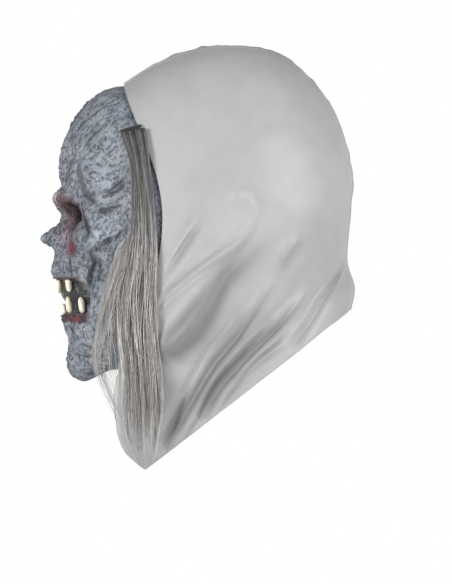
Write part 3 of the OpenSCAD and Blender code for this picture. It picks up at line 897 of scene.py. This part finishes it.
def hood_lift(skin):
    """How far folds, puckers and slack move each point of the hood outward."""
    left = skin * np.where(skin[..., :1] < 0, np.array([-1, 1, 1]), 1)
    share = np.where(skin[..., 0] < 0, RIGHT_FOLD_SHARE, 1)
    lift = np.zeros(skin.shape[:-1])
    for line, (_, width, depth, ridge_front, ridge_back) in zip(FOLD_LINES, FOLDS):
        d, along, side = to_segments(left, line)
        s = d * side
        ends = ease(along / 0.5) * ease((1.1 - along) / 0.25)
        lift += share * ends * (
            ridge_front * bell(s + RIDGE_PLACE * width, RIDGE_WIDTH * width)
            + ridge_back * bell(s - RIDGE_PLACE * width, RIDGE_WIDTH * width)
            - depth * bell(s, width)
        )
    for centre, (_, radius, height) in zip(SWELLING_CENTRES, SWELLINGS):
        lift += share * height * bell(np.linalg.norm(left - centre, axis=-1), radius)
    lift += 0.7 * noise(skin, 34, 11) + 0.25 * noise(skin, 12, 13)
    from_seam = np.abs(skin[..., 0])
    above = ease(skin[..., 2] / 40)
    pucker = np.sin(skin[..., 1] * 0.42 + 5 * noise(skin, 15, 12)) * bell(from_seam, 8)
    return lift + above * (0.45 + 0.5 * noise(skin, 40, 14)) * pucker - bell(from_seam, 1.2)


def hood_normal(v, t):
    step = 1e-3
    round_way = hood_point(v, t + step, 0) - hood_point(v, t - step, 0)
    forward = hood_point(np.clip(v + step, 0, 1), t, 0) - hood_point(np.clip(v - step, 0, 1), t, 0)
    n = np.cross(round_way, forward)
    return n / np.maximum(np.linalg.norm(n, axis=-1, keepdims=True), 1e-9)


def hood_layer(name, t, v_from, v_to, rows, depths, closed, material, rolled=0.0):
    """A layer of the hood between two depths; rolled thickens its front and back edges, like a turned hem."""
    k = np.linspace(0, 1, rows)[:, None]
    v = v_from + (v_to - v_from) * k
    tt = t[None, :] + 0 * v
    skin = hood_point(v, tt, 0)
    normals = hood_normal(v, tt)
    free = ease((face_edge(tt) - v - 0.03) / 0.08)
    lift = (hood_lift(skin) * free)[..., None]
    hem = rolled * (bell(1 - k, ROLL_REACH) + bell(k, ROLL_REACH))[..., None]
    outer = hood_point(v, tt, depths[0]) + normals * (lift + 0.3 * hem)
    inner = hood_point(v, tt, depths[1]) + normals * (lift - 0.5 * hem)
    if not closed:
        for skin_points in (outer, inner):
            for column in (0, -1):
                if abs(math.sin(t[column])) < 1e-6:
                    skin_points[:, column, 0] = 0
    points = np.concatenate([outer.reshape(-1, 3), inner.reshape(-1, 3)])
    # The fold value, from the lift, gives the painted shade in the valleys and the painted highlight on the
    # ridges
    fold = np.tile(np.clip(0.5 + 0.09 * lift[..., 0], 0, 1).ravel(), 2)
    faces = wall_faces(rows, len(t), closed, False)
    return new_mesh(name, points, faces, "mask", material, {"fold": fold})


def panel_as_cut():
    """A panel's length, width and area before it was stretched, in metres, from its unfolded surface."""
    skin = plain_panel() * MM
    forward, around = np.diff(skin, axis=0), np.diff(skin, axis=1)
    length = np.linalg.norm(forward, axis=-1).sum(0).max()
    width = np.linalg.norm(around, axis=-1).sum(1).max()
    area = np.linalg.norm(np.cross(forward[:, :-1], around[:-1]), axis=-1).sum()
    return (length / math.sqrt(PANEL_STRETCH), width / math.sqrt(PANEL_STRETCH)), area / PANEL_STRETCH


def make_hood():
    cut_size, cut_area = panel_as_cut()
    for name, start in (("left", 0), ("right", math.pi)):
        t = np.linspace(start, start + math.pi, PANEL_COLS)
        panel = hood_layer(f"hood_{name}", t, 0, face_edge(t), PANEL_ROWS, (0, FABRIC), False, JERSEY, 1.0)
        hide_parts(f"hood_{name}_panel")
    under = (FABRIC + LAYER_GAP, 2 * FABRIC + LAYER_GAP)
    for name, middle, v_from, v_to in (("crown_seam", 0.0, 0.05, 0.95), ("throat_seam", math.pi, 0.08, 0.78)):
        t = middle + SEAM_HALF_ANGLE * np.linspace(-1, 1, 9)
        tape = hood_layer(f"{name}_tape", t, v_from, v_to, 160, under, False, SEAM_TAPE)
        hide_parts(name)
    ring = np.arange(2 * PANEL_COLS) * math.pi / PANEL_COLS
    near_edge = 0.03
    end = hood_share(near_edge, ring, HEM_LENGTH)
    band = hood_layer("neck_hem_band", ring, 0, end, 8, under, True, JERSEY)
    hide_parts("neck_hem")
    end = face_edge(ring) - hood_share(face_edge(ring), ring, HEM_SETBACK)
    start = end - hood_share(end, ring, HEM_LENGTH - HEM_SETBACK)
    turned = hood_layer("face_hem_band", ring, start, end, 8, (FABRIC + LAYER_GAP, EDGE_DEPTH - LAYER_GAP),
                        True, JERSEY)
    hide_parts("face_edge_hem")


make_hood()

# ---------------------------------------------------------------- hair

# A lock, from root to tip: place along it, z, front y, back y, front x, back x, thickness, rise
LOCK = np.array([
    [0.00, 74, -88, -72, 62.6, 68.6, 2.5, 5],
    [0.08, 53, -83, -67, 67.2, 75.2, 5, 0],
    [0.20, 21, -81, -63, 69.6, 77.6, 6, 0],
    [0.29, -3, -82, -61, 72, 79.2, 6, 0],
    [0.38, -27, -86, -60, 71, 81.6, 6.5, 0],
    [0.50, -59, -93, -60, 66.2, 81.6, 7, 0],
    [0.59, -83, -94, -59, 66, 80, 7, 0],
    [0.70, -112, -91, -57, 67, 78, 7, 0],
    [0.80, -139, -90, -55, 66, 76, 7, 0],
    [0.89, -163, -88, -58, 64, 73, 6, 0],
    [0.95, -179, -82, -61, 64, 70, 5, 0],
    [1.00, -192, -75, -67, 66, 68, 3, 0],
], float)
# The wisp that leaves the lock at the cheekbone: place along it, x, y, z
WISP = np.array([
    [0.00, 74, -84, -4],
    [0.12, 73, -89.5, -19],
    [0.22, 72, -94.5, -35],
    [0.36, 69, -101, -59],
    [0.50, 66.5, -106.5, -83],
    [0.57, 65, -109, -95],
    [0.66, 65, -109.5, -111],
    [0.71, 65, -107, -119],
    [0.78, 65, -103, -131],
    [0.86, 66, -95, -147],
    [0.94, 67, -87, -163],
    [1.00, 67.5, -80, -177],
], float)
STRAND_RINGS = 38
STRAND_SIDES = 3
LOCK_STRANDS = 1300
LOCK_CLUMPS = 54
WISP_STRANDS = 250
WISP_CLEARANCE = 1.6
# Below this height no face lies beside the wisp
FACE_FOOT_Z = -122
GUIDE_PLACES = 60
# About a full turn, in radians
TURN = 6.28


def lock_place(u, s, layer):
    """A point in the lock: u from root to tip, s from front to back, layer from its inside out."""
    row = smooth_rows(LOCK, u)
    bulge = 0.35 + 0.65 * np.sin(np.pi * np.clip(s, 0, 1))
    x = row[..., 4] + (row[..., 5] - row[..., 4]) * s + row[..., 6] * bulge * layer
    y = row[..., 2] + (row[..., 3] - row[..., 2]) * s
    return np.stack([x, y, row[..., 1] + row[..., 7] * (s - 0.5)], -1)


def strand_points(path, radius):
    """The rings of a thin tube along a path."""
    ahead = np.gradient(path, axis=0)
    ahead /= np.linalg.norm(ahead, axis=1, keepdims=True)
    beside = np.cross(ahead, [1.0, 0.0, 0.0])
    beside /= np.maximum(np.linalg.norm(beside, axis=1, keepdims=True), 1e-6)
    outward = np.cross(beside, ahead)
    angle = 2 * math.pi * np.arange(STRAND_SIDES) / STRAND_SIDES
    ring = np.cos(angle)[None, :, None] * beside[:, None] + np.sin(angle)[None, :, None] * outward[:, None]
    return (path[:, None] + ring * radius[:, None, None]).reshape(-1, 3)


def strands_mesh(name, strands, side, body):
    """One piece from many strands; each is (path, radius, tone)."""
    points = np.concatenate([strand_points(path, radius) for path, radius, _ in strands])
    tones = np.concatenate([np.repeat(tone, STRAND_SIDES) for _, _, tone in strands])
    faces = tube_faces(STRAND_RINGS, STRAND_SIDES, len(strands))
    points[:, 0] *= side
    if side < 0:
        faces = [face[::-1] for face in faces]
    return new_mesh(name, points, faces, body, HAIR, {"tone": tones})


def lock_strands(rng):
    clumps = []
    for i in range(LOCK_CLUMPS):
        clumps.append({
            "s": (i + 0.5) / LOCK_CLUMPS + rng.gauss(0, 0.02),
            "layer": rng.uniform(0.1, 0.9),
            "drift": rng.gauss(0, 0.11),
            "wave": rng.uniform(0.01, 0.05),
            "pace": rng.uniform(5, 12),
            "phase": rng.uniform(0, TURN),
            "tone": min(1, max(0, rng.gauss(0.46, 0.17))),
            "end": rng.uniform(0.9, 1.0),
        })
    strands = []
    for i in range(LOCK_STRANDS):
        s0 = (i + rng.random()) / LOCK_STRANDS
        clump = clumps[min(LOCK_CLUMPS - 1, int(s0 * LOCK_CLUMPS))]
        stray = rng.random() < 0.32
        end = clump["end"] * (1 - abs(rng.gauss(0, 0.05))) * (rng.uniform(0.45, 0.95) if i % 5 < 3 else 1)
        u = np.linspace(0, 1, STRAND_RINGS) * end
        pull = 0.5 * ease(u / 0.5) * (0.2 if stray else 1)
        s = s0 + (clump["s"] - s0) * pull
        ripple = clump["wave"] * np.sin(clump["pace"] * u + clump["phase"]) * ease(u / 0.3)
        s = s + clump["drift"] * ease(u) + ripple
        own = rng.uniform(0.015, 0.04) * (3 if stray else 1)
        s = s + own * np.sin(rng.uniform(5, 14) * u + rng.uniform(0, TURN)) * ease(u / 0.25)
        s = 0.5 + np.tanh((s - 0.5) * 1.6) / 1.6 * (1.12 + 0.35 * (1 - ease(u / 0.12)))
        layer = rng.random()
        layers = layer + (clump["layer"] - layer) * pull * 0.5
        path = lock_place(u, np.clip(s, -0.14, 1.14), layers)
        path[:, 2] += 2.0 * (1 - s0) * (1 - ease(u / 0.05))
        thick = rng.uniform(0.08, 0.17)
        radius = thick * (1 - 0.6 * ease((u / end - 0.7) / 0.3))
        tone = clump["tone"] + rng.gauss(0, 0.26) + (0.35 if rng.random() < 0.10 else 0)
        along = tone * (0.42 + 0.78 * ease((u - 0.10) / 0.38)) + 0.05 * np.sin(9 * u + s0 * 20)
        strands.append((path, radius, np.clip(along, 0, 1)))
    return strands


def clear_of_face(path):
    """The path pushed out of the face where it would lie in it."""
    skin = FACE_SKIN[:, : FACE_COLS // 2].reshape(-1, 3)
    for point in path:
        if point[2] > FACE_FOOT_Z:
            miss = (skin[:, 1] - point[1]) ** 2 + (skin[:, 2] - point[2]) ** 2
            point[0] = max(point[0], skin[np.argmin(miss), 0] + WISP_CLEARANCE)
    return path


def wisp_strands(rng):
    """Strands that leave the lock's front edge, most of them in one thin wisp and the rest strewn between."""
    guide = np.linspace(0, 1, GUIDE_PLACES)
    front = lock_place(guide, np.full(GUIDE_PLACES, 0.04), np.full(GUIDE_PLACES, 0.6))
    middle = clear_of_face(smooth_rows(WISP, guide)[:, 1:4].copy())
    k = np.linspace(0, 1, STRAND_RINGS)
    strands = []
    for i in range(WISP_STRANDS):
        thin = i % 4 < 3
        long = i % 12 == 0
        share = min(1.0, rng.gauss(0.96, 0.06)) if thin else rng.uniform(0.1, 1.02) ** 0.7
        start = rng.uniform(0, 0.15) if thin else rng.uniform(0, 0.35)
        end = rng.uniform(0.9, 1.0) if long else start + rng.uniform(0.3, 0.62)
        u = start + (min(end, 1.0) - start) * k
        way = np.stack([np.interp(u, guide, middle[:, c]) for c in range(3)], -1)
        beside = np.stack([np.interp(-way[:, 2], -front[:, 2], front[:, c]) for c in range(3)], -1)
        leave = share * ease((k + 0.02) / 0.3)[:, None]
        path = beside + (way - beside) * leave
        path[:, 0] = np.maximum(path[:, 0], way[:, 0] - 1.0)
        slack = ease(k / 0.25) * (2.2 if thin else 4.0)
        path[:, 1] += slack * (rng.gauss(0, 0.5) + 0.7 * np.sin(rng.uniform(3, 8) * k + rng.uniform(0, TURN)))
        path[:, 0] += rng.uniform(0, 1.6) + 0.5 * np.sin(5 * k + rng.uniform(0, TURN))
        radius = rng.uniform(0.07, 0.13) * (1 - 0.6 * ease((k - 0.7) / 0.3))
        tone = np.clip(rng.gauss(0.60, 0.24) + 0.15 * k, 0, 1)
        strands.append((path, radius, tone * np.ones(STRAND_RINGS)))
    return strands


for side, word, seed in ((1, "left", 21), (-1, "right", 22)):
    rng = random.Random(seed)
    lock = strands_mesh(f"{word}_lock_strands", lock_strands(rng), side, f"{word}_lock")
    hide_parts(f"{word}_hair_lock")
    wisp = strands_mesh(f"{word}_wisp_strands", wisp_strands(rng), side, f"{word}_lock")
    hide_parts(f"{word}_hair_wisp")

# ---------------------------------------------------------------- teeth, mouth lining and wefts

TOOTH_RINGS = 26
TOOTH_SIDES = 24
# Where the gum lets go of a tooth, so that its whole oval shows
UPPER_ROOT_Z = -41.5
LOWER_ROOT_Z = -71.0
LOWER_LEAN = -2.2


def tooth_place(node):
    """The low and high corners of a CAD tooth, and the height at which the gum lets go of it."""
    low, high = (np.array(c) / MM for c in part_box(node))
    return low, high, LOWER_ROOT_Z if node.startswith("lower") else UPPER_ROOT_Z


def make_tooth(node, rng):
    """An oval, slightly bent tooth in the CAD tooth's place."""
    low, high, root_z = tooth_place(node)
    middle = (low + high) / 2
    lower = node.startswith("lower")
    tip_z = high[2] if lower else low[2]
    radius = (high[0] - low[0]) / 2
    k = np.linspace(0.004, 0.996, TOOTH_RINGS)
    belly = 0.5 if lower else 0.36
    bent = np.where(k < belly, 0.5 * k / belly, 0.5 + 0.5 * (k - belly) / (1 - belly))
    profile = (1 - np.abs(2 * bent - 1) ** 2.3) ** 0.5
    lean = LOWER_LEAN if lower else rng.gauss(0, 0.4)
    skew = rng.gauss(0, 0.4)
    angle = np.arange(TOOTH_SIDES) * 2 * math.pi / TOOTH_SIDES
    rings = []
    for j, share in enumerate(profile):
        lump = 1 + 0.04 * np.sin(3 * angle + 4 * k[j] + skew) + 0.03 * math.sin(9 * k[j] + skew)
        x = middle[0] + skew * k[j] ** 2 + radius * share * 1.02 * np.cos(angle) * lump
        y = middle[1] + lean * (k[j] - 0.4) + radius * share * np.sin(angle) * lump
        z = np.full(TOOTH_SIDES, root_z + (tip_z - root_z) * k[j])
        rings.append(np.stack([x, y, z], -1))
    faces = tube_faces(TOOTH_RINGS, TOOTH_SIDES)
    if not lower:
        faces = [face[::-1] for face in faces]
    root = np.repeat(0.9 * (1 - ease((k - 0.02) / 0.22)), TOOTH_SIDES)
    points = np.concatenate(rings)
    tooth = new_mesh(f"{node}_cast", points, faces, "mask", TOOTH, {"root": root})
    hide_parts(node)


LINING_COLS = 150
LINING_ROWS = 90
LINING_WALL = 2.4
LINING_SWELL_MOST = 2.2
ARCH_Y = -100.0
# The lining's outside, from its foot: z, half width, depth
LINING = np.array([
    [-77.4, 41.6, 33.6],
    [-73.0, 42.0, 34.0],
    [-71.0, 41.6, 33.6],
    [-67.0, 40.8, 33.2],
    [-62.0, 40.8, 34.0],
    [-58.0, 41.2, 36.4],
    [-54.5, 41.5, 38.4],
    [-51.0, 41.4, 38.0],
    [-46.0, 41.2, 37.6],
    [-43.5, 42.0, 39.0],
    [-42.0, 43.6, 40.6],
    [-33.6, 44.0, 41.0],
])


def make_lining():
    """The black gums and the wall between them, swollen round the teeth's roots."""
    a = np.linspace(-math.pi / 2, math.pi / 2, LINING_COLS)[None, :]
    z = np.linspace(LINING[0, 0], LINING[-1, 0], LINING_ROWS)[:, None]
    half = np.interp(z, LINING[:, 0], LINING[:, 1])
    depth = np.interp(z, LINING[:, 0], LINING[:, 2])
    flat = np.stack([half * np.sin(a), ARCH_Y - depth * np.cos(a), z + 0 * a], -1)
    swell = 0.55 * noise(flat, 5, 31) + 0.35 * noise(flat, 2.2, 32)
    for node in NODES:
        if not node.endswith("tooth"):
            continue
        low, high, root_z = tooth_place(node)
        reach = np.hypot(flat[..., 0] - (low[0] + high[0]) / 2, 0.8 * (flat[..., 2] - root_z))
        swell += 2.0 * bell(reach, 3.6)
    swell *= ease((z - LINING[0, 0]) / 3) * ease((LINING[-1, 0] - z) / 6)
    skins = []
    for inset in (0, LINING_WALL):
        out = np.minimum(swell, LINING_SWELL_MOST) - inset
        skins.append(np.stack([(half + out) * np.sin(a), ARCH_Y - (depth + out) * np.cos(a), z + 0 * a], -1))
    points = np.concatenate([skin.reshape(-1, 3) for skin in skins])
    faces = wall_faces(LINING_ROWS, LINING_COLS, False, False)
    lining = new_mesh("mouth_lining", points, faces, "mask", INSERT)
    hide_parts("mouth_insert")


WEFT_MIDDLE = (62.9, -81.6, 76.5)
WEFT_SIZE = (3.4, 18.4, 2.6)
WEFT_TILT = math.radians(14.8)
WEFT_TURN = math.radians(-17.9)
WEFT_RINGS = 60
WEFT_SIDES = 16


def squarer(wave):
    """A sine or cosine with fuller shoulders."""
    return np.sign(wave) * np.abs(wave) ** 0.6


def make_weft(word, side):
    """The sewn band that a lock's roots are caught in, with a whipped edge."""
    angle = np.arange(WEFT_SIDES) * 2 * math.pi / WEFT_SIDES
    points = []
    for place in np.linspace(-1, 1, WEFT_RINGS):
        full = math.sqrt(max(0.02, 1 - abs(place) ** 12)) * (1 + 0.07 * math.cos(place * 55))
        u = WEFT_SIZE[0] / 2 * full * squarer(np.cos(angle))
        w = WEFT_SIZE[2] / 2 * full * squarer(np.sin(angle))
        v = place * WEFT_SIZE[1] / 2 + 0 * angle
        v, w = (v * math.cos(WEFT_TILT) - w * math.sin(WEFT_TILT),
                v * math.sin(WEFT_TILT) + w * math.cos(WEFT_TILT))
        u, v = (u * math.cos(WEFT_TURN) - v * math.sin(WEFT_TURN),
                u * math.sin(WEFT_TURN) + v * math.cos(WEFT_TURN))
        points.append(np.stack([side * (WEFT_MIDDLE[0] + u), WEFT_MIDDLE[1] + v, WEFT_MIDDLE[2] + w], -1))
    faces = tube_faces(WEFT_RINGS, WEFT_SIDES)
    if side > 0:
        faces = [face[::-1] for face in faces]
    weft = new_mesh(f"{word}_weft_band", np.concatenate(points), faces, "mask", WEFT_TAPE)
    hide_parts(f"{word}_hair_weft")


tooth_rng = random.Random(5)
for tooth_node in sorted(n for n in NODES if n.endswith("tooth")):
    make_tooth(tooth_node, tooth_rng)
make_lining()
make_weft("left", 1)
make_weft("right", -1)

# ---------------------------------------------------------------- stage, lights and camera

CAMERA_DISTANCE = 5.0
PICTURE_HEIGHT = 0.4672
SENSOR = 36.0
VIEW_CENTRE = (0.0, -0.0064, -0.0528)
FLOOR_Z = -0.9
FLOOR_HALF = 5.0
# The studio is white at eye height and falls to this brightness above and below, between two heights
# given as sines of the angle from level
SKY = 0.42
SKY_FALL = (0.10, 0.25)
# Each light: name, place, target, size, watts
LIGHTS = [
    ("key", (1.9, 1.5, 0.5), (0, 0, 0), 0.9, 52),
    ("face_fill", (1.3, -1.8, 0.5), (0, -0.05, -0.03), 0.8, 38),
    ("far_side", (-2.2, -0.4, 0.1), (0, 0, 0), 1.4, 8),
]


def make_stage():
    shader = Shader("pale_floor")
    shader.set(Base_Color=shader.ramp(shader.noise(3, 2), (0.3, 0.86), (0.7, 0.88)), Roughness=0.9)
    mesh = bpy.data.meshes.new("floor")
    corners = [(x * FLOOR_HALF, y * FLOOR_HALF, FLOOR_Z) for x, y in ((-1, -1), (1, -1), (1, 1), (-1, 1))]
    mesh.from_pydata(corners, [], [(0, 1, 2, 3)])
    mesh.materials.append(shader.material)
    floor = bpy.data.objects.new("floor", mesh)
    bpy.context.scene.collection.objects.link(floor)


def make_light(name, where, target, size, watts):
    light = bpy.data.lights.new(name, "AREA")
    light.shape = "DISK"
    light.size = size
    light.energy = watts
    lamp = bpy.data.objects.new(name, light)
    lamp.location = where
    lamp.rotation_euler = (Vector(target) - Vector(where)).to_track_quat("-Z", "Y").to_euler()
    bpy.context.scene.collection.objects.link(lamp)


def make_camera():
    camera = bpy.data.cameras.new("side_view")
    camera.sensor_width = SENSOR
    camera.lens = SENSOR * CAMERA_DISTANCE / PICTURE_HEIGHT
    holder = bpy.data.objects.new("side_view", camera)
    centre = Vector(VIEW_CENTRE)
    holder.location = centre + Vector((CAMERA_DISTANCE, 0, 0))
    holder.rotation_euler = (centre - holder.location).to_track_quat("-Z", "Y").to_euler()
    bpy.context.scene.collection.objects.link(holder)
    bpy.context.scene.camera = holder


def make_world():
    world = bpy.data.worlds.new("studio")
    world.use_nodes = True
    nodes, links = world.node_tree.nodes, world.node_tree.links
    place = nodes.new("ShaderNodeTexCoord")
    split = nodes.new("ShaderNodeSeparateXYZ")
    ramp = nodes.new("ShaderNodeMapRange")
    height = nodes.new("ShaderNodeMath")
    height.operation = "ABSOLUTE"
    links.new(place.outputs["Generated"], split.inputs[0])
    links.new(split.outputs["Z"], height.inputs[0])
    links.new(height.outputs[0], ramp.inputs["Value"])
    limits = {"From Min": SKY_FALL[0], "From Max": SKY_FALL[1], "To Min": 1.0, "To Max": SKY}
    for socket, value in limits.items():
        ramp.inputs[socket].default_value = value
    background = nodes["Background"]
    background.inputs["Color"].default_value = (1, 1, 1, 1)
    links.new(ramp.outputs["Result"], background.inputs["Strength"])
    bpy.context.scene.world = world


make_stage()
for light_settings in LIGHTS:
    make_light(*light_settings)
make_world()
make_camera()
bpy.context.scene.view_settings.view_transform = "Standard"

# ---------------------------------------------------------------- the end


bpy.context.view_layer.update()
